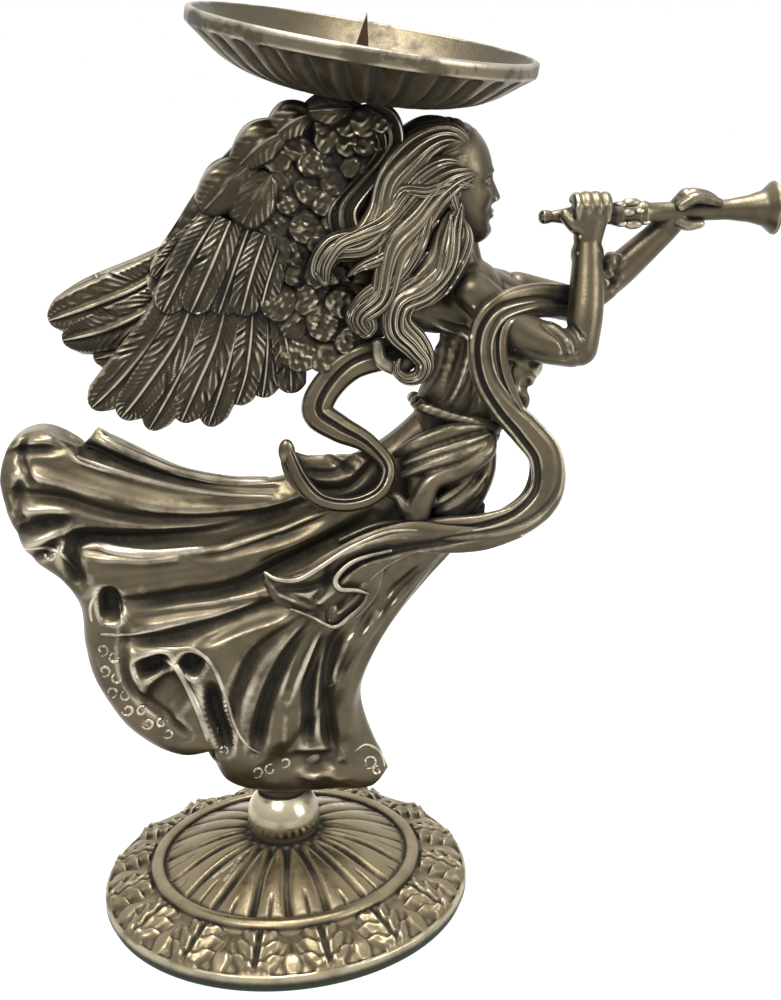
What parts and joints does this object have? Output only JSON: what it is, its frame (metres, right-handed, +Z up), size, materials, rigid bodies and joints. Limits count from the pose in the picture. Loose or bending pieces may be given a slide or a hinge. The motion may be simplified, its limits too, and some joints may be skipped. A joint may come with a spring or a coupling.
{
  "type": "figural candlestick",
  "caption": "Candle stand: a winged figure blowing a trumpet carries a fluted candle pan on the wings and stands on a ball above a round gadrooned foot.",
  "frame": {"origin": "middle of the underside of the foot, on the plane the stand rests on", "axes": "+Z up, the figure flies along +X with the trumpet towards +X, the pictured side faces -Y"},
  "size_m": [0.2712, 0.1368, 0.3225],
  "materials": {
    "figure_metal": "tarnished silvered casting, brown-black patina in the recesses, rubbed bright on the high parts",
    "foot_metal": "satin silvered casting with a slightly warmer tone",
    "ball_metal": "polished",
    "pan_metal": "matt tarnished casting, blotchy inside",
    "spike_steel": "brown rusted steel",
    "hardware_steel": "plain zinc-grey steel",
    "felt": "dark green felt"
  },
  "bodies": {
    "root": {"base_foot": "foot_metal", "foot_felt": "felt", "tie_rod": "hardware_steel", "foot_washer": "hardware_steel", "foot_nut": "hardware_steel", "ball_knop": "ball_metal", "skirt": "figure_metal", "hip_wrap": "figure_metal", "torso": "figure_metal", "belt_cord": "figure_metal", "head": "figure_metal", "hair": "figure_metal", "near_wing": "figure_metal", "far_wing": "figure_metal", "near_arm": "figure_metal", "far_arm": "figure_metal", "trumpet": "figure_metal", "shoulder_scarf": "figure_metal", "back_scarf": "figure_metal", "drip_pan": "pan_metal", "pricket": "spike_steel"}
  },
  "joints": []
}
